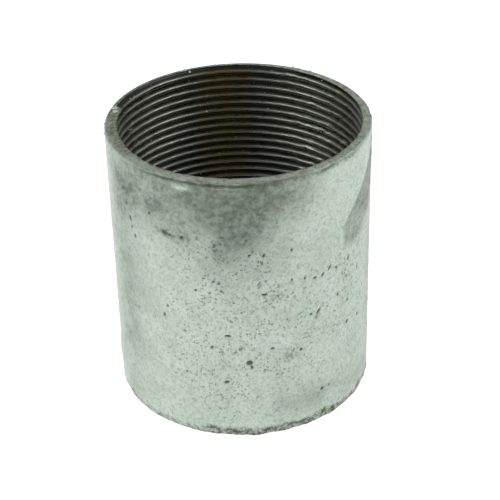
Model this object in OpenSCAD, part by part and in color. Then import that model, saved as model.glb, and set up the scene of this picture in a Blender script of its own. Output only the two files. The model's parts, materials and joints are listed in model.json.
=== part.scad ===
/* [Sleeve] */
// Outside diameter over the zinc coat
outer_d = 68.0; // [67.6:0.1:72]
// Overall length, end face to end face
sleeve_l = 75.4; // [50:0.1:90]
// Thickness of the hot-dip zinc coat
coat_t = 0.15; // [0.1:0.05:0.3]
// Width of the bevel round each outer edge
edge_bevel = 0.6; // [0.4:0.1:0.8]

/* [Thread] */
// Distance between neighbouring thread crests
thread_pitch = 2.309; // [2.2:0.001:2.5]
// Diameter at the thread crests, which is the clear bore
minor_d = 62.752; // [62.4:0.001:63]
// Depth of the thread, crest to root
thread_depth = 1.479; // [1.2:0.001:1.5]
// Angle between the two flanks
thread_angle = 55; // [50:1:60]
// Width of the flat at the root of the groove
root_flat = 0.3; // [0.1:0.05:0.35]

/* [Mouths] */
// Diameter of each mouth where its small bevel meets the end face
mouth_d = 63.4; // [63.2:0.1:63.8]

/* [Hidden] */

outer_r = outer_d / 2;
bore_r = minor_d / 2;
mouth_r = mouth_d / 2;
mouth_bevel = mouth_r - bore_r;
steel_r = outer_r - coat_t;
steel_bottom = coat_t;
steel_top = sleeve_l - coat_t;
round_fn = 96;
overlap = 1;

// The thread is drawn as equal grooves, one pitch apart.
flank_run = thread_depth * tan(thread_angle / 2);
over_cut = 0.1;
over_run = over_cut * tan(thread_angle / 2);
groove_gaps = floor((sleeve_l - thread_pitch) / thread_pitch);
first_groove = (sleeve_l - groove_gaps * thread_pitch) / 2;

module thread_grooves() {
    rotate_extrude($fn = round_fn)
        for (turn = [0:groove_gaps])
            translate([bore_r, sleeve_l - first_groove - turn * thread_pitch])
                polygon([
                    [-over_cut, -root_flat / 2 - flank_run - over_run],
                    [thread_depth, -root_flat / 2],
                    [thread_depth, root_flat / 2],
                    [-over_cut, root_flat / 2 + flank_run + over_run]
                ]);
}

// Steel tube with bevelled edges, bored right through and threaded.
module threaded_sleeve() {
    color("dimgray")
        difference() {
            rotate_extrude($fn = round_fn)
                polygon([
                    [bore_r, steel_bottom + mouth_bevel],
                    [mouth_r, steel_bottom],
                    [steel_r - edge_bevel, steel_bottom],
                    [steel_r, steel_bottom + edge_bevel],
                    [steel_r, steel_top - edge_bevel],
                    [steel_r - edge_bevel, steel_top],
                    [mouth_r, steel_top],
                    [bore_r, steel_top - mouth_bevel]
                ]);
            thread_grooves();
        }
}

// Zinc skin over the outside and both end faces, cut away by the thread.
module zinc_coat() {
    color("lightgray")
        difference() {
            rotate_extrude($fn = round_fn)
                polygon([
                    [mouth_r, 0],
                    [outer_r - edge_bevel, 0],
                    [outer_r, edge_bevel],
                    [outer_r, sleeve_l - edge_bevel],
                    [outer_r - edge_bevel, sleeve_l],
                    [mouth_r, sleeve_l]
                ]);
            rotate_extrude($fn = round_fn)
                polygon([
                    [mouth_r - overlap, steel_bottom],
                    [steel_r - edge_bevel, steel_bottom],
                    [steel_r, steel_bottom + edge_bevel],
                    [steel_r, steel_top - edge_bevel],
                    [steel_r - edge_bevel, steel_top],
                    [mouth_r - overlap, steel_top]
                ]);
        }
}

threaded_sleeve();
zinc_coat();
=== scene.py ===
"""A hot-dip galvanised steel pipe sleeve with a bare, oiled thread right through it."""
import json
import math

import bmesh
import bpy
import numpy as np
from mathutils import Matrix, Vector


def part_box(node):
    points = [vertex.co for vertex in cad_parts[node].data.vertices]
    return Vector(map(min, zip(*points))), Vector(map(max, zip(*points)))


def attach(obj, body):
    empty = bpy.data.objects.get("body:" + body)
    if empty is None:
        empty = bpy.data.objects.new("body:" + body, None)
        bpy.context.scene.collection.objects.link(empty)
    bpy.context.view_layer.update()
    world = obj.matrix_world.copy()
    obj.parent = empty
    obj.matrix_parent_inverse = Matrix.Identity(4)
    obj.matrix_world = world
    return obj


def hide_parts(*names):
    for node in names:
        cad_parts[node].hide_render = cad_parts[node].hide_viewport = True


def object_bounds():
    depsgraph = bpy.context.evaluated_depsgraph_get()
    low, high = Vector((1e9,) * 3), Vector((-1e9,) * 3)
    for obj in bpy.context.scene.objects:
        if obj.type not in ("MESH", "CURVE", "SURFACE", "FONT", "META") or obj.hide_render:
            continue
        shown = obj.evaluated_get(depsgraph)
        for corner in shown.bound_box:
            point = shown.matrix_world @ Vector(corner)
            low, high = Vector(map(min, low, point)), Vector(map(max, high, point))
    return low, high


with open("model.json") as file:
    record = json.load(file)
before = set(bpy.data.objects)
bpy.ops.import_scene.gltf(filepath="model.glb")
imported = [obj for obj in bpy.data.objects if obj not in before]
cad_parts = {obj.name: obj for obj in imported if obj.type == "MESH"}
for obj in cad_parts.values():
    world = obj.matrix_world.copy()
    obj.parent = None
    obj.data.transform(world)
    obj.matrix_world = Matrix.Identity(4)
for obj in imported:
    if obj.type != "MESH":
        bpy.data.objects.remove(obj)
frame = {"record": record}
cad_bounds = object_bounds()

MM = 0.001
TAU = 2 * math.pi

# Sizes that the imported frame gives.
coat_low, coat_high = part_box("zinc_coat")
steel_low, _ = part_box("threaded_sleeve")
mounts = {mount["name"]: mount for mount in frame["record"]["mounts"]}
OUTER_R = coat_high.x
LENGTH = coat_high.z
COAT = steel_low.z - coat_low.z
CREST_R = mounts["upper_thread"]["dims"]["r_mm"] * MM

# The thread, as in the design. Its round 55 degree form is given in pitches.
PITCH = 2.309 * MM
THREAD_DEPTH = 1.479 * MM
FORM_DEPTH = 0.6403
FORM_ROUNDING = 0.1373
FLANK_ANGLE = math.radians(27.5)

# Where the groove runs out of the top face, the mouth, and how far the bore is off centre.
RUN_OUT_ANGLE = math.radians(145)
MOUTH_R = CREST_R + 0.05 * MM
BORE_SHIFT = 0.24 * MM

# The zinc's rounded edge, and the hidden walls where the zinc and the steel overlap.
EDGE_BEVEL = 0.5 * MM
STEEL_OUTSIDE = OUTER_R - 2.5 * COAT
ZINC_INSIDE = OUTER_R - 3 * COAT

# How finely the two meshes are divided.
THREAD_SEGMENTS = 180
THREAD_ROWS = 15
FRONT_DEGREES = (-178, -2)
FRONT_COLUMNS = 400
BACK_COLUMNS = 140
WALL_ROWS = 250
FACE_ROWS = 10

# Parts of the zinc skin, in the order in which its rows run.
INSIDE, BOTTOM, BEVEL, WALL, TOP, MOUTH = range(6)

# The stage and the view of it.
FLOOR_HALF = 20
FLOOR_GAP = 0.05 * MM
FLOOR_GLOW = 0.95
WORLD_LIGHT = 0.30
SOFTBOX_SIZE = 0.75
CAMERA_ELEVATION = math.radians(31.65)
CAMERA_ROLL = math.radians(1.66)
CAMERA_DISTANCE = 11.37 * OUTER_R
CAMERA_LENS_MM = 103.9
CAMERA_SHIFT = (0.0169, -0.0106)


# ---------------------------------------------------------------- marks in the zinc
# Places are (degrees round, share of the length up), sizes are (half width, half height)
# in mm and the last number is the slope of the mark's long axis in degrees.

# Larger pits in the wall.
PITS = (
    ((-69, 0.62), (0.25, 0.3), 0),
    ((-69, 0.735), (0.4, 0.25), 45),
    ((-87, 0.735), (0.4, 0.25), 30),
    ((-63, 0.61), (0.3, 0.3), 0),
    ((-58, 0.60), (0.5, 0.3), 0),
    ((-54, 0.60), (0.6, 0.3), 40),
    ((-46, 0.60), (0.3, 0.5), 20),
    ((-50, 0.615), (0.8, 0.3), 55),
    ((-38, 0.61), (0.7, 0.3), 50),
    ((-30, 0.63), (0.4, 0.3), 60),
    ((-39, 0.54), (0.3, 0.3), 0),
    ((-30, 0.54), (0.4, 0.3), 60),
    ((-45, 0.49), (0.3, 0.5), 0),
    ((-60, 0.46), (0.4, 0.3), -40),
    ((-56, 0.462), (0.9, 0.3), 45),
    ((-38, 0.44), (0.3, 0.4), 0),
    ((-24, 0.44), (0.4, 0.3), 50),
    ((-38, 0.35), (0.5, 0.5), 0),
    ((-29, 0.34), (0.3, 0.5), 30),
    ((-54, 0.13), (0.5, 0.4), 0),
    ((-88, 0.31), (0.8, 0.7), 20),
    ((-87, 0.29), (0.3, 0.5), 0),
    ((-98, 0.23), (0.7, 0.4), 20),
    ((-78, 0.36), (0.5, 0.3), 0),
    ((-65, 0.33), (0.4, 0.4), 30),
    ((-97, 0.42), (0.8, 0.3), 0),
    ((-104, 0.37), (0.5, 0.3), 50),
    ((-126, 0.46), (0.3, 0.6), 0),
    ((-124, 0.50), (0.3, 0.4), 0),
    ((-81, 0.58), (0.7, 0.3), 0),
    ((-110, 0.59), (0.3, 0.3), 0),
    ((-141, 0.72), (0.3, 0.6), 20),
    ((-144, 0.78), (0.3, 0.7), 30),
    ((-146, 0.83), (0.3, 0.4), 0),
    ((-143, 0.75), (0.25, 0.4), 0),
    ((-148, 0.88), (0.25, 0.3), 0),
    ((-131, 0.84), (0.4, 0.4), 0),
    ((-115, 0.785), (0.4, 0.4), 0),
    ((-81, 0.73), (0.3, 0.5), -30),
    ((-50, 0.13), (0.3, 0.3), 0),
    ((-116, 0.25), (0.3, 0.2), 0),
)

# Grey patches, and painted shade that darkens the wall towards both sides, each with its strength first.
GREY_PATCHES_AND_SIDE_SHADE = (
    (1.00, (-97, 0.955), (18, 6), 0),
    (0.75, (-92, 0.84), (12, 9), 0),
    (0.25, (-96, 0.71), (12, 9), 0),
    (0.85, (-136, 0.90), (12, 8), 0),
    # painted shade: a broad darkening of the right, then the left side of the wall
    (0.12, (-30, 0.35), (13, 32), 0),
    (0.10, (-138, 0.45), (10, 32), 0),
    (0.18, (-28, 0.08), (12, 4), 0),
    # painted shade: darkens the wall along its right edge
    (0.30, (-13, 0.50), (4, 45), 0),
    (0.35, (-62, 0.11), (10, 4), 0),
    # painted shade: darkens the wall along its left edge
    (0.48, (-152, 0.50), (7, 42), 0),
)

# Brown stains on the wall, each with its strength first.
STAINS = (
    (0.35, (-118, 0.84), (5, 5), 0),
    (0.70, (-123, 0.785), (4.0, 0.9), -22),
    (0.60, (-114, 0.785), (1.6, 1.3), 0),
    (0.50, (-57, 0.44), (1.2, 0.8), 0),
    (0.35, (-71, 0.32), (3, 2), 0),
    (0.25, (-75, 0.56), (4, 3), 0),
)

# Where pinholes crowd, each with its strength first.
PINHOLE_CROWDS = (
    (0.9, (-92, 0.52), (14, 16), 0),
    (0.6, (-42, 0.50), (12, 18), 0),
    (0.5, (-100, 0.25), (22, 14), 0),
    (0.6, (-97, 0.72), (10, 9), 0),
)

# Fresh runs of zinc that stand out just below the crack under the top edge.
PALE_RUNS = (
    (1, (-114, 0.970), (1.8, 0.6), 0),
    (1, (-97, 0.981), (3.6, 0.45), 0),
)

# Beads of zinc on the rim: degrees round, share of the outside radius, share of the
# length up, (half width, half height).
BEADS = (
    (115, 0.972, 1.001, (0.55, 0.35)),
    (113, 0.958, 0.992, (0.35, 0.40)),
    (118, 0.980, 1.001, (0.25, 0.20)),
    (63, 0.995, 0.999, (0.40, 0.30)),
    (60, 0.995, 0.998, (0.30, 0.30)),
    (54, 0.995, 0.998, (0.45, 0.30)),
    (100, 0.990, 0.999, (0.30, 0.20)),
    (178, 1.000, 0.985, (0.35, 0.50)),
    (183, 1.000, 0.970, (0.30, 0.40)),
    (166, 0.965, 1.001, (0.90, 0.30)),
    (169, 0.945, 1.000, (0.80, 0.25)),
)


# ---------------------------------------------------------------- helpers


def value_noise(points, cell, seed):
    """Smooth 3-D noise from 0 to 1 at each point, with one random value per cell."""
    size = 32
    table = np.random.RandomState(seed).rand(size, size, size)
    grid = points / cell
    low = np.floor(grid).astype(int)
    part = grid - low
    part = part * part * (3 - 2 * part)
    total = np.zeros(len(points))
    for dx in (0, 1):
        for dy in (0, 1):
            for dz in (0, 1):
                weight = (
                    np.abs(1 - dx - part[:, 0])
                    * np.abs(1 - dy - part[:, 1])
                    * np.abs(1 - dz - part[:, 2])
                )
                corner = (low + (dx, dy, dz)) % size
                total += weight * table[corner[:, 0], corner[:, 1], corner[:, 2]]
    return total


def fractal_noise(points, cell, seed, octaves=3):
    """Value noise of halving cells, from -1 to 1."""
    total = np.zeros(len(points))
    reach = 0.0
    for octave in range(octaves):
        share = 0.5**octave
        total += share * (2 * value_noise(points, cell * share, seed + octave) - 1)
        reach += share
    return total / reach


def ease(value, low, high):
    """0 below low, 1 above high, and smooth between."""
    t = np.clip((value - low) / (high - low), 0, 1)
    return t * t * (3 - 2 * t)


def angle_gap(a, b):
    """Signed angle from b to a, within half a turn."""
    return (a - b + math.pi) % TAU - math.pi


def between(theta, start, end, soft):
    """1 from start to end, in degrees counter-clockwise, with soft edges, and 0 elsewhere."""
    middle = math.radians((start + end) / 2)
    half = math.radians((end - start) / 2)
    return 1 - ease(np.abs(angle_gap(theta, middle)), half, half + math.radians(soft))


def mm_from(theta, height, at):
    """Distances in mm round and up the wall from a place."""
    across = angle_gap(theta, math.radians(at[0])) * OUTER_R / MM
    up = (height - at[1] * LENGTH) / MM
    return across, up


def spot(theta, height, at, size, slope=0):
    """A soft oval on the wall, 1 in its middle and 0.4 at its edge."""
    across, up = mm_from(theta, height, at)
    c, s = math.cos(math.radians(slope)), math.sin(math.radians(slope))
    return np.exp(-(((across * c + up * s) / size[0]) ** 2) - ((up * c - across * s) / size[1]) ** 2)


def spots(theta, height, table):
    """The sum of the soft ovals in a table, each times its strength."""
    return sum(strength * spot(theta, height, at, size, slope) for strength, at, size, slope in table)


def polar_points(theta, radius, height):
    """Points from angles, radii and heights."""
    return np.stack([radius * np.cos(theta), radius * np.sin(theta), height], -1)


def new_mesh_object(name, verts, faces):
    mesh = bpy.data.meshes.new(name)
    mesh.from_pydata(verts, [], faces)
    mesh.update()
    piece = bpy.data.objects.new(name, mesh)
    bpy.context.scene.collection.objects.link(piece)
    return piece


def add_attribute(piece, name, values):
    """Stores one number per vertex for the materials to read."""
    layer = piece.data.attributes.new(name, "FLOAT", "POINT")
    layer.data.foreach_set("value", np.asarray(values, np.float32))


# ---------------------------------------------------------------- thread


def round_thread_depth(share):
    """Depth of a thread with round crests and roots, from 1 at the middle of the groove
    (share 0) to 0 at the middle of the crest (share 1)."""
    x = share / 2
    reach = FORM_ROUNDING * math.cos(FLANK_ANGLE)
    drop = FORM_ROUNDING * (1 - math.sin(FLANK_ANGLE))
    root = FORM_ROUNDING - np.sqrt(FORM_ROUNDING**2 - np.minimum(x, reach) ** 2)
    rounding = np.sqrt(FORM_ROUNDING**2 - np.minimum(0.5 - x, reach) ** 2)
    crest = FORM_DEPTH - FORM_ROUNDING + rounding
    flank = drop + (x - reach) / math.tan(FLANK_ANGLE)
    lost = np.where(x < reach, root, np.where(x > 0.5 - reach, crest, flank))
    return 1 - lost / FORM_DEPTH


def thread_radius(theta, height):
    """Radius of the threaded wall at an angle and a height."""
    turns = (height - LENGTH) / PITCH - (theta - RUN_OUT_ANGLE) / TAU
    return CREST_R + THREAD_DEPTH * round_thread_depth(np.abs(turns - np.round(turns)) * 2)


def wear_thread(theta, height, radius, depth):
    """Tool chatter everywhere, and torn crests where the tap dragged on the right."""
    points = polar_points(theta, radius, height)
    crest = 1 - depth
    height = height + 0.05 * MM * fractal_noise(points, 5 * MM, 13, 2)
    radius = radius + 0.07 * MM * fractal_noise(points, 1.6 * MM, 11, 3)
    drag = 0.35 + 0.65 * between(theta, 22, 62, 8)
    torn = ease(value_noise(points, 1.3 * MM, 17), 0.66, 0.85) * drag
    chip = ease(value_noise(points, 0.6 * MM, 19), 0.68, 0.85) * drag
    return height, radius + (0.35 * torn + 0.25 * chip) * MM * crest


def thread_wall():
    """Vertices, faces and groove depth of the helical wall, a little longer than the sleeve."""
    turns = math.ceil(LENGTH / PITCH)
    step = np.arange(-2 * THREAD_SEGMENTS, (turns + 1) * THREAD_SEGMENTS + 1)[:, None]
    phase = (np.arange(THREAD_ROWS) / THREAD_ROWS - 0.5)[None, :]
    theta = RUN_OUT_ANGLE + TAU * step / THREAD_SEGMENTS
    height = LENGTH - turns * PITCH + PITCH * (step / THREAD_SEGMENTS + phase)
    depth = round_thread_depth(np.abs(phase) * 2)
    theta, height, depth = (grid.ravel() for grid in np.broadcast_arrays(theta, height, depth))
    height, radius = wear_thread(theta, height, CREST_R + THREAD_DEPTH * depth, depth)
    verts = polar_points(theta, radius, height) + (BORE_SHIFT, 0, 0)

    i = np.arange(len(step) - 1)[:, None]
    here = i * THREAD_ROWS + np.arange(THREAD_ROWS - 1)[None, :]
    beyond = here + THREAD_ROWS
    inside = np.stack([here, here + 1, beyond + 1, beyond], -1).reshape(-1, 4)
    i = np.arange(len(step) - 1 - THREAD_SEGMENTS)
    top = i * THREAD_ROWS + THREAD_ROWS - 1
    above = (i + THREAD_SEGMENTS) * THREAD_ROWS
    joins = np.stack([top, above, above + THREAD_ROWS, top + THREAD_ROWS], -1)
    return verts, np.concatenate([inside, joins]), depth


def bore_angle(vert):
    """Angle of a vertex round the bore's own axis."""
    return math.atan2(vert.co.y, vert.co.x - BORE_SHIFT)


def add_end_face(form, level):
    """A flat ring from the cut end of the thread to the hidden outside wall."""
    rim = [vert for vert in form.verts if vert.is_boundary and abs(vert.co.z - level) < 1e-6]
    rim.sort(key=bore_angle)
    outer = []
    for vert in rim:
        angle = bore_angle(vert)
        place = (STEEL_OUTSIDE * math.cos(angle), STEEL_OUTSIDE * math.sin(angle), level)
        outer.append(form.verts.new(place))
    for k in range(len(rim)):
        n = (k + 1) % len(rim)
        form.faces.new((rim[k], rim[n], outer[n], outer[k]))


def steel_thread():
    """The bare steel: helical wall, end faces and a plain outside under the zinc."""
    verts, faces, depth = thread_wall()
    piece = new_mesh_object("steel_thread", verts.tolist(), faces.tolist())
    # painted shade: near black in the grooves just under the top edge
    near_top = ease(verts[:, 2], LENGTH - 2.2 * MM, LENGTH - 0.8 * MM)
    add_attribute(piece, "groove", depth)
    add_attribute(piece, "top_groove_shade", near_top * ease(depth, 0.1, 0.5))
    form = bmesh.new()
    form.from_mesh(piece.data)
    ends = (LENGTH - COAT, COAT)
    for level, up in zip(ends, (1, -1)):
        everything = form.verts[:] + form.edges[:] + form.faces[:]
        bmesh.ops.bisect_plane(
            form, geom=everything, plane_co=(0, 0, level), plane_no=(0, 0, up), clear_outer=True, dist=1e-7
        )
    for level in ends:
        add_end_face(form, level)
    bmesh.ops.bridge_loops(form, edges=[edge for edge in form.edges if edge.is_boundary])
    bmesh.ops.recalc_face_normals(form, faces=form.faces[:])
    form.to_mesh(piece.data)
    form.free()
    piece.data.shade_smooth()
    piece.data.set_sharp_from_angle(angle=math.radians(60))
    return piece


# ---------------------------------------------------------------- zinc


def zinc_columns():
    """Angles of the skin's columns, close together on the front half."""
    start, end = FRONT_DEGREES
    front = np.linspace(start, end, FRONT_COLUMNS, endpoint=False)
    back = np.linspace(end, start + 360, BACK_COLUMNS, endpoint=False)
    return np.radians(np.concatenate([front, back]))


def mouth_edge(theta, level, seed):
    """Inner edge of an end face: the run-out of the groove at the back and right, and the
    lip of zinc over it elsewhere."""
    edge = np.maximum(thread_radius(theta, level + 0 * theta), MOUTH_R) + BORE_SHIFT * np.cos(theta)
    rough = fractal_noise(polar_points(theta, OUTER_R, 0 * theta), 2.5 * MM, seed, 3)
    filled = between(theta, 166, 330, 3)
    lip = OUTER_R * (0.925 - 0.017 * between(theta, 150, 205, 30)) + 0.16 * MM * rough
    edge = edge + 0.28 * MM * between(theta, 70, 166, 15)
    edge = edge * (1 - filled) + lip * filled
    return np.minimum(edge + 0.05 * MM * rough, OUTER_R - EDGE_BEVEL - 0.05 * MM)


def skin_rows(around):
    """Radius, height and part of the skin's rows: up from the hidden inside, over the bottom
    face, up the wall and over the top face back to the inside."""
    inner_top = mouth_edge(around, LENGTH, 71)
    inner_bottom = mouth_edge(around, 0.0, 73)
    face_r = OUTER_R - EDGE_BEVEL
    bevel_angles = np.radians((22.5, 45, 67.5))
    rows = [(ZINC_INSIDE, 3 * COAT, INSIDE), (inner_bottom, 2 * COAT, INSIDE)]
    for t in np.linspace(0, 1, FACE_ROWS):
        rows.append((inner_bottom * (1 - t) + face_r * t, 0.0, BOTTOM))
    for a in bevel_angles:
        rows.append((face_r + EDGE_BEVEL * math.sin(a), EDGE_BEVEL * (1 - math.cos(a)), BEVEL))
    for t in np.linspace(0, 1, WALL_ROWS):
        rows.append((OUTER_R, EDGE_BEVEL + (LENGTH - 2 * EDGE_BEVEL) * t, WALL))
    for a in bevel_angles[::-1]:
        rows.append((face_r + EDGE_BEVEL * math.sin(a), LENGTH - EDGE_BEVEL * (1 - math.cos(a)), BEVEL))
    for t in np.linspace(1, 0, FACE_ROWS):
        rows.append((inner_top * (1 - t) + face_r * t, LENGTH, TOP))
    rows += [(inner_top, LENGTH - 2 * COAT, MOUTH), (ZINC_INSIDE, LENGTH - 3 * COAT, INSIDE)]
    return rows


def ring_faces(rows, columns):
    """Quads of a grid that is closed both ways: round each row, and from the last row to
    the first."""
    r = np.arange(rows)[:, None]
    c = np.arange(columns)[None, :]
    here = r * columns + c
    beside = r * columns + (c + 1) % columns
    above = ((r + 1) % rows) * columns + c
    above_beside = ((r + 1) % rows) * columns + (c + 1) % columns
    quads = np.stack(np.broadcast_arrays(here, beside, above_beside, above), -1)
    return quads.reshape(-1, 4).tolist()


def pit_field(theta, height):
    """0 on sound zinc and 1 where the zinc is pitted."""
    points = polar_points(theta, OUTER_R, height)
    chance = ease(value_noise(points, 1.3 * MM, 51), 0.90, 0.97)
    chance = chance * ease(value_noise(points, 11 * MM, 55), 0.45, 0.7)
    total = 0.5 * chance * between(theta, 0, 180, 8)
    total = total + spots(theta, height, [(1, *pit_and_crack_shade) for pit_and_crack_shade in PITS])
    return ease(total, 0.15, 0.50)


def lip_line(theta, height, points):
    """The crack just under the top edge, where the zinc folded over it: a shallow groove whose dark colour
    is painted shade under the lip.
    """
    sag = 0.45 * MM * fractal_noise(points * (1, 1, 0), 4 * MM, 47, 4)
    middle = LENGTH - (0.9 - 0.4 * between(theta, -82, 5, 8)) * MM + sag
    line = np.exp(-(((height - middle) / (0.38 * MM)) ** 2))
    strength = 0.25 + 0.75 * between(theta, -125, -86, 8) + 0.65 * between(theta, -80, -35, 8)
    broken = ease(value_noise(points * (1, 1, 0), 3 * MM, 49), 0.25, 0.6)
    return line * np.clip(strength, 0, 1) * (0.45 + 0.55 * broken) * between(theta, -185, 5, 10)


def bumps(theta, height, points):
    """Ragged lumps at the bottom edge, one drip, and the runs of zinc below the top edge."""
    low = 0.9 * (1 - ease(height, 0.2 * MM, 1.8 * MM))
    ragged = low * fractal_noise(points, 2.0 * MM, 67, 3)
    drip = 1.4 * spot(theta, height, (-86, 0.004), (1.8, 0.7))
    side = spot(theta, height, (-170, 0.12), (4, 3))
    return ragged + drip + side + spots(theta, height, PALE_RUNS)


def pinhole_field(theta, height, points):
    """How crowded the pinholes are."""
    unseen = 0.8 * ease(value_noise(points, 15 * MM, 57), 0.35, 0.75) * between(theta, 5, 175, 10)
    return np.clip(0.35 + spots(theta, height, PINHOLE_CROWDS) + unseen, 0, 1)


def grey_wedge(theta, height):
    """The grey patch on the right: a clean upper edge that slopes down to the front, and
    soft edges below and behind."""
    across, up = mm_from(theta, height, (-30, 0.76))
    under = 0.64 * (across + 8.4) - 0.77 * (up + 2.3)
    ends = ease(across, -7.4, -5.6) * ease(up, -9.0, -5.5)
    return ease(under, -0.4, 0.9) * (1 - ease(under, 7, 14)) * ends


def shade_field(theta, height, points):
    """Broad grey patches where the zinc-iron layer grew through the zinc, and painted shade that darkens
    the wall towards both sides.
    """
    wander = fractal_noise(points, 5 * MM, 79, 4)
    total = spots(theta, height, GREY_PATCHES_AND_SIDE_SHADE) + 0.68 * grey_wedge(theta, height)
    chance = 0.7 * ease(value_noise(points, 17 * MM, 83), 0.60, 0.95) * between(theta, 10, 170, 12)
    total = (total + chance) * (1 + 0.55 * wander) + 0.10 * wander
    return np.clip(total - 1.2 * spots(theta, height, PALE_RUNS), 0, 1)


def wall_stain(theta, height, wander):
    """Olive brown along both edges of the wall and in a few places on it."""
    front = between(theta, -104, -52, 10)
    right = between(theta, -50, 10, 8)
    reach = (0.9 + 1.3 * wander + 1.1 * front) * MM + 0.6 * MM * right
    bottom = (0.6 + 0.4 * front + 0.3 * right) * (1 - ease(height, reach, reach + 1.2 * MM))
    crack = np.exp(-(((height - LENGTH + 0.9 * MM) / (0.7 * MM)) ** 2))
    under_lip = 0.36 * spot(theta, height, (-77, 0.94), (9, 5))
    under_lip = under_lip + 0.5 * between(theta, -130, -35, 6) * crack
    placed = spots(theta, height, STAINS)
    return bottom + under_lip * (1 + 0.6 * wander) + placed * (1 + 1.8 * wander)


def face_stain(theta, radius, wander):
    """Olive brown on the end faces, most of it at the mouth and at the back."""
    torn = between(theta, 158, 212, 6)
    inner = 1 - ease(radius, CREST_R + 0.1 * MM, CREST_R + (0.9 + 0.9 * torn) * MM)
    back = between(theta, 80, 175, 10)
    blotches = 0.35 * (wander > 0.1)
    return (0.6 + 0.5 * torn) * inner * (1 + wander) + 0.8 * back + blotches + 0.25 * torn


def add_beads(form):
    for at, radius_share, height_share, size in BEADS:
        a = math.radians(at)
        radius = OUTER_R * radius_share
        place = Vector((radius * math.cos(a), radius * math.sin(a), LENGTH * height_share))
        shape = Matrix.Diagonal((size[0] * MM, size[0] * MM, size[1] * MM, 1))
        shape = Matrix.Translation(place) @ shape
        bmesh.ops.create_icosphere(form, subdivisions=2, radius=1, matrix=shape)


def zinc_skin():
    """The zinc, as one closed skin: outside wall, bevels and both end faces."""
    around = zinc_columns()
    rows = skin_rows(around)
    radius, height, part = (
        np.concatenate([value + 0 * around for value in column]) for column in zip(*rows)
    )
    theta = np.tile(around, len(rows))
    points = polar_points(theta, radius, height)
    wall = (part == WALL) | (part == BEVEL)
    top = part == TOP
    top_bevel = (part == BEVEL) & (height > LENGTH / 2)
    # painted shade: the top face, with the hidden mouth and inside, is marked 1 and the top bevel 0.5 for
    # the material to darken
    face = 1.0 * (top | (part == MOUTH) | (part == INSIDE)) + 0.5 * top_bevel

    pits = pit_field(theta, height)
    lip = lip_line(theta, height, points)
    shade = shade_field(theta, height, points)
    pinholes = pinhole_field(theta, height, points)
    relief = 0.06 * fractal_noise(points, 9 * MM, 31, 3)
    relief = relief + 0.05 * fractal_noise(points, 1.6 * MM, 37, 3) * (0.5 + 6.0 * shade)
    relief = relief - 0.30 * pits - 0.35 * lip + 0.30 * bumps(theta, height, points)
    radius = radius + wall * MM * relief
    wander = fractal_noise(points, 3 * MM, 61, 3)
    nicks = 0.7 * ease(value_noise(points * (1, 1, 0), 0.9 * MM, 77), 0.72, 0.88) * top
    sag = 0.05 * fractal_noise(points, 4 * MM, 41, 3) + 0.05 * fractal_noise(points, 1.2 * MM, 45, 2)
    dross = 0.22 * between(theta, 150, 182, 5) * value_noise(points, 1.5 * MM, 43)
    height = height + top * MM * (sag + dross)
    stain = np.where(wall, wall_stain(theta, height, wander), face_stain(theta, radius, wander))

    verts = polar_points(theta, radius, height)
    piece = new_mesh_object("zinc_skin", verts.tolist(), ring_faces(len(rows), len(around)))
    # dark pits, nicks in the top face, and painted shade in the crack under the top edge
    add_attribute(piece, "pit_and_crack_shade", np.clip((pits + lip) * wall + nicks, 0, 1))
    add_attribute(piece, "shade", shade * wall)
    add_attribute(piece, "speckle", pinholes * wall)
    add_attribute(piece, "stain", np.clip(stain, 0, 1))
    add_attribute(piece, "face", face)
    form = bmesh.new()
    form.from_mesh(piece.data)
    add_beads(form)
    bmesh.ops.recalc_face_normals(form, faces=form.faces[:])
    form.to_mesh(piece.data)
    form.free()
    piece.data.shade_smooth()
    return piece


# ---------------------------------------------------------------- materials

# A Mix node's sockets share their names, so those for colours are found by number.
MIX_COLOUR_INPUTS = (0, 6, 7)
MIX_COLOUR_OUTPUT = 2


def new_material(name):
    material = bpy.data.materials.new(name)
    material.use_nodes = True
    tree = material.node_tree
    return material, tree, tree.nodes["Principled BSDF"]


def node(tree, kind, **settings):
    made = tree.nodes.new(kind)
    for key, value in settings.items():
        setattr(made, key, value)
    return made


def feed(tree, socket, value):
    """Links another node's output to a socket, or sets a number or a colour on it."""
    if isinstance(value, bpy.types.NodeSocket):
        tree.links.new(value, socket)
    elif isinstance(value, tuple):
        socket.default_value = (*value, 1)
    else:
        socket.default_value = value


def noise_node(tree, coords, scale, detail, rough):
    made = node(tree, "ShaderNodeTexNoise")
    made.inputs["Scale"].default_value = scale
    made.inputs["Detail"].default_value = detail
    made.inputs["Roughness"].default_value = rough
    tree.links.new(coords, made.inputs["Vector"])
    return made.outputs["Fac"]


def ramp_node(tree, value, stops):
    """A colour ramp. stops are (position, grey or colour)."""
    made = node(tree, "ShaderNodeValToRGB")
    ramp = made.color_ramp
    while len(ramp.elements) < len(stops):
        ramp.elements.new(0.5)
    for element, (at, colour) in zip(ramp.elements, stops):
        element.position = at
        element.color = (*colour, 1) if isinstance(colour, tuple) else (colour,) * 3 + (1,)
    tree.links.new(value, made.inputs["Fac"])
    return made.outputs["Color"]


def mix_colour(tree, factor, a, b, blend="MIX"):
    made = node(tree, "ShaderNodeMix", data_type="RGBA", blend_type=blend)
    for index, value in zip(MIX_COLOUR_INPUTS, (factor, a, b)):
        feed(tree, made.inputs[index], value)
    return made.outputs[MIX_COLOUR_OUTPUT]


def math_node(tree, operation, *values):
    made = node(tree, "ShaderNodeMath", operation=operation)
    for socket, value in zip(made.inputs, values):
        feed(tree, socket, value)
    return made.outputs[0]


def scaled(tree, value, factor):
    return math_node(tree, "MULTIPLY", value, factor)


def attribute(tree, name):
    made = node(tree, "ShaderNodeAttribute", attribute_name=name, attribute_type="GEOMETRY")
    return made.outputs["Fac"]


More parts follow.
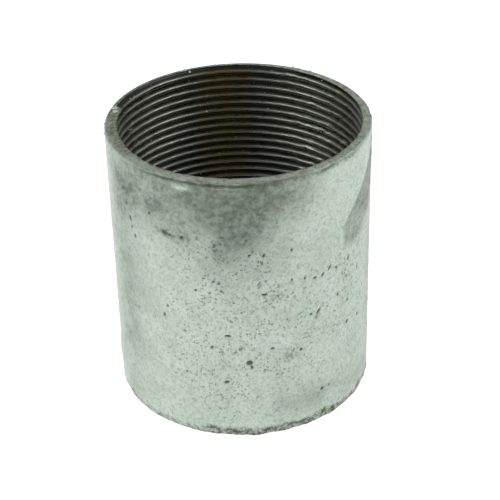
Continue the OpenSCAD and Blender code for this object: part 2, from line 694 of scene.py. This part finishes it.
def wobbled(tree, coords, scale, amount):
    """The same place, pushed about by noise, so that shapes made from it are irregular."""
    push = node(tree, "ShaderNodeTexNoise")
    push.inputs["Scale"].default_value = scale
    tree.links.new(coords, push.inputs["Vector"])
    centred = node(tree, "ShaderNodeVectorMath", operation="MULTIPLY_ADD")
    centred.inputs[1].default_value = (2 * amount,) * 3
    centred.inputs[2].default_value = (-amount,) * 3
    tree.links.new(push.outputs["Color"], centred.inputs[0])
    total = node(tree, "ShaderNodeVectorMath", operation="ADD")
    tree.links.new(coords, total.inputs[0])
    tree.links.new(centred.outputs[0], total.inputs[1])
    return total.outputs[0]


def dots(tree, coords, cell, radius):
    """Small round dots, 1 inside and 0 outside, about one to a cell."""
    cells = node(tree, "ShaderNodeTexVoronoi")
    cells.inputs["Scale"].default_value = 1 / cell
    tree.links.new(coords, cells.inputs["Vector"])
    return ramp_node(tree, cells.outputs["Distance"], [(0.5 * radius / cell, 1.0), (radius / cell, 0.0)])


def bump(tree, shader, relief, strength, distance):
    made = node(tree, "ShaderNodeBump")
    made.inputs["Strength"].default_value = strength
    made.inputs["Distance"].default_value = distance
    tree.links.new(relief, made.inputs["Height"])
    tree.links.new(made.outputs["Normal"], shader.inputs["Normal"])


def pinhole_nodes(tree, coords):
    """Fine and coarse pinholes, where the skin says that they crowd."""
    patches = noise_node(tree, coords, 260, 3, 0.5)
    bent = wobbled(tree, coords, 900, 0.9 * MM)
    fine = dots(tree, bent, 0.95 * MM, 0.36 * MM)
    coarse = dots(tree, bent, 2.1 * MM, 0.50 * MM)
    both = math_node(tree, "MAXIMUM", scaled(tree, fine, 0.62), scaled(tree, coarse, 0.80))
    grouped = ramp_node(tree, patches, [(0.32, 0.15), (0.56, 1.0)])
    near = math_node(tree, "MULTIPLY", attribute(tree, "speckle"), grouped)
    return math_node(tree, "MULTIPLY", both, near)


def zinc_material():
    """Pale, faintly green zinc with grain, grey zinc-iron patches with painted shade in their hollows,
    pinholes, pits and stains, and painted shade on both sides of the wall, in the crack under the top edge
    and on the top face and its bevel.
    """
    material, tree, shader = new_material("hot_dip_zinc")
    coords = node(tree, "ShaderNodeTexCoord").outputs["Object"]
    shade = attribute(tree, "shade")
    face = attribute(tree, "face")
    clouds = noise_node(tree, coords, 110, 5, 0.6)
    mottle = noise_node(tree, coords, 900, 6, 0.7)
    grain = noise_node(tree, coords, 2200, 3, 0.6)
    marks = noise_node(tree, coords, 640, 4, 0.62)
    pinholes = pinhole_nodes(tree, coords)

    colour = ramp_node(tree, clouds, [(0.3, (0.475, 0.565, 0.485)), (0.7, (0.57, 0.655, 0.582))])
    for dark, stops in ((mottle, [(0.34, 0.80), (0.52, 1.0)]), (grain, [(0.30, 0.76), (0.52, 1.0)])):
        colour = mix_colour(tree, 1.0, colour, ramp_node(tree, dark, stops), "MULTIPLY")
    # the grey patch colour follows the relief noise: partly the patches' own tone, partly painted shade in
    # its hollows and painted light on its rises
    alloy_and_hollow_shade = ramp_node(tree, marks, [(0.36, (0.095, 0.118, 0.090)), (0.64, (0.255, 0.305, 0.250))])
    # the grey patches, and with them the painted shade at the sides of the wall
    colour = mix_colour(tree, scaled(tree, shade, 0.88), colour, alloy_and_hollow_shade)
    # pinholes and pits, with the painted shade in the crack, darkened alike
    holes_and_crack_shade = math_node(tree, "MAXIMUM", pinholes, attribute(tree, "pit_and_crack_shade"))
    colour = mix_colour(tree, scaled(tree, holes_and_crack_shade, 0.9), colour, (0.045, 0.045, 0.03))
    ragged = ramp_node(tree, mottle, [(0.42, 1.0), (0.58, 0.30)])
    ragged = math_node(tree, "MULTIPLY", attribute(tree, "stain"), ragged)
    colour = mix_colour(tree, ragged, colour, (0.070, 0.078, 0.042))
    # painted shade: a darker top face, and top bevel at half strength
    colour = mix_colour(tree, scaled(tree, face, 0.40), colour, (0.23, 0.255, 0.20))
    # dirt and painted shade: darker mottles on the top face and bevel, in the hollows of the relief noise
    mottled_dirt_and_shade = math_node(tree, "MULTIPLY", face, ramp_node(tree, marks, [(0.40, 1.0), (0.60, 0.0)]))
    colour = mix_colour(tree, scaled(tree, mottled_dirt_and_shade, 0.40), colour, (0.10, 0.105, 0.065))
    tree.links.new(colour, shader.inputs["Base Color"])
    shader.inputs["Metallic"].default_value = 0.45
    tree.links.new(ramp_node(tree, mottle, [(0.3, 0.60), (0.7, 0.40)]), shader.inputs["Roughness"])

    relief = math_node(tree, "ADD", mottle, scaled(tree, grain, 0.35))
    relief = math_node(tree, "SUBTRACT", relief, scaled(tree, pinholes, 0.8))
    rough_skin = math_node(tree, "MAXIMUM", shade, scaled(tree, face, 0.2))
    hammered = math_node(tree, "MULTIPLY", rough_skin, scaled(tree, marks, 14.0))
    relief = math_node(tree, "ADD", relief, hammered)
    bump(tree, shader, relief, 0.6, 0.25 * MM)
    return material


def back_stripe(tree, place, wander, reach):
    """1 in a stripe down the back of the bore and 0 beyond reach outside radii to its sides."""
    split = node(tree, "ShaderNodeSeparateXYZ")
    tree.links.new(place, split.inputs[0])
    shifted = math_node(tree, "ADD", split.outputs["X"], scaled(tree, wander, 8 * MM))
    across = math_node(tree, "ABSOLUTE", shifted)
    stripe = ramp_node(tree, scaled(tree, across, 1 / OUTER_R), [(0.04, 1.0), (reach, 0.0)])
    back = ramp_node(tree, scaled(tree, split.outputs["Y"], 1 / OUTER_R), [(0.0, 0.0), (0.3, 1.0)])
    return math_node(tree, "MULTIPLY", stripe, back)


def steel_material():
    """Dark oiled steel, bright on the crests against painted shade deep in the grooves, with painted shade
    down the back of the bore and in the grooves under the top edge, a brown, dried, oily stain at the
    back, and flecks.
    """
    material, tree, shader = new_material("oiled_bare_steel")
    place = node(tree, "ShaderNodeTexCoord").outputs["Object"]
    broad = noise_node(tree, place, 130, 4, 0.6)
    fine = noise_node(tree, place, 1300, 5, 0.75)
    colour = ramp_node(tree, broad, [(0.35, (0.145, 0.155, 0.128)), (0.7, (0.235, 0.25, 0.212))])
    # painted shade: darker deep in the grooves, so that the crests stand out bright
    root_shade = ramp_node(tree, attribute(tree, "groove"), [(0.05, 0.0), (0.55, 1.0)])
    colour = mix_colour(tree, root_shade, colour, (0.050, 0.051, 0.034))
    # painted shade: a broad dark stripe down the back of the bore that dims the crests there
    back_shade = back_stripe(tree, place, broad, 0.48)
    colour = mix_colour(tree, scaled(tree, back_shade, 0.7), colour, (0.052, 0.050, 0.036))
    rust = back_stripe(tree, place, broad, 0.24)
    colour = mix_colour(tree, scaled(tree, rust, 0.8), colour, (0.112, 0.089, 0.030))
    # painted shade in the grooves just under the top edge
    colour = mix_colour(tree, attribute(tree, "top_groove_shade"), colour, (0.010, 0.010, 0.006))
    some = ramp_node(tree, noise_node(tree, place, 170, 2, 0.5), [(0.50, 0.0), (0.60, 1.0)])
    flecks = math_node(tree, "MULTIPLY", dots(tree, place, 1.9 * MM, 0.28 * MM), some)
    colour = mix_colour(tree, scaled(tree, flecks, 0.8), colour, (0.55, 0.57, 0.52))
    tree.links.new(colour, shader.inputs["Base Color"])
    shader.inputs["Metallic"].default_value = 0.75
    sheen = ramp_node(tree, noise_node(tree, place, 420, 5, 0.75), [(0.36, 0.62), (0.62, 0.24)])
    tree.links.new(sheen, shader.inputs["Roughness"])
    shader.inputs["Coat Weight"].default_value = 0.35
    shader.inputs["Coat Roughness"].default_value = 0.15
    bump(tree, shader, fine, 0.5, 0.12 * MM)
    return material


# ---------------------------------------------------------------- stage


def floor():
    half = FLOOR_HALF
    corners = [(-half, -half, 0), (half, -half, 0), (half, half, 0), (-half, half, 0)]
    piece = new_mesh_object("floor", corners, [(0, 1, 2, 3)])
    material, _, shader = new_material("white_floor")
    shader.inputs["Base Color"].default_value = (0.3, 0.3, 0.3, 1)
    shader.inputs["Roughness"].default_value = 0.9
    shader.inputs["Emission Color"].default_value = (1, 1, 1, 1)
    shader.inputs["Emission Strength"].default_value = FLOOR_GLOW
    piece.data.materials.append(material)
    piece.location.z = cad_bounds[0][2] - FLOOR_GAP


def softbox(name, at, power):
    """A square area light at a place in metres, facing the sleeve."""
    lamp = bpy.data.lights.new(name, "AREA")
    lamp.size = SOFTBOX_SIZE
    lamp.energy = power
    holder = bpy.data.objects.new(name, lamp)
    holder.location = at
    aim = Vector((0, 0, LENGTH / 2)) - Vector(at)
    holder.rotation_euler = aim.to_track_quat("-Z", "Y").to_euler()
    bpy.context.scene.collection.objects.link(holder)


def lights():
    """A softbox on each side and an even dim light from all round."""
    softbox("left_softbox", (-0.68, -0.20, 0.72), 6.5)
    softbox("right_softbox", (0.70, -0.05, 0.72), 5.5)
    world = bpy.data.worlds.new("studio")
    world.use_nodes = True
    background = world.node_tree.nodes["Background"]
    background.inputs["Color"].default_value = (1, 1, 1, 1)
    background.inputs["Strength"].default_value = WORLD_LIGHT
    bpy.context.scene.world = world


def camera():
    """A long lens that looks down at the middle of the sleeve from the front, rolled a little."""
    lens = bpy.data.cameras.new("camera")
    lens.sensor_width = 36
    lens.lens = CAMERA_LENS_MM
    lens.shift_x, lens.shift_y = CAMERA_SHIFT
    lens.clip_start = 0.01
    holder = bpy.data.objects.new("camera", lens)
    back = Vector((0, -math.cos(CAMERA_ELEVATION), math.sin(CAMERA_ELEVATION)))
    right = Vector((1, 0, 0))
    up = back.cross(right)
    turned_right = right * math.cos(CAMERA_ROLL) - up * math.sin(CAMERA_ROLL)
    turned_up = right * math.sin(CAMERA_ROLL) + up * math.cos(CAMERA_ROLL)
    pose = Matrix((turned_right, turned_up, back)).transposed().to_4x4()
    pose.translation = Vector((0, 0, LENGTH / 2)) + back * CAMERA_DISTANCE
    holder.matrix_world = pose
    bpy.context.scene.collection.objects.link(holder)
    bpy.context.scene.camera = holder


camera()
floor()
lights()
bpy.context.scene.view_settings.view_transform = "Standard"

steel = steel_thread()
steel.data.materials.append(steel_material())
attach(steel, "root")
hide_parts("threaded_sleeve")

zinc = zinc_skin()
zinc.data.materials.append(zinc_material())
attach(zinc, "root")
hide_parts("zinc_coat")
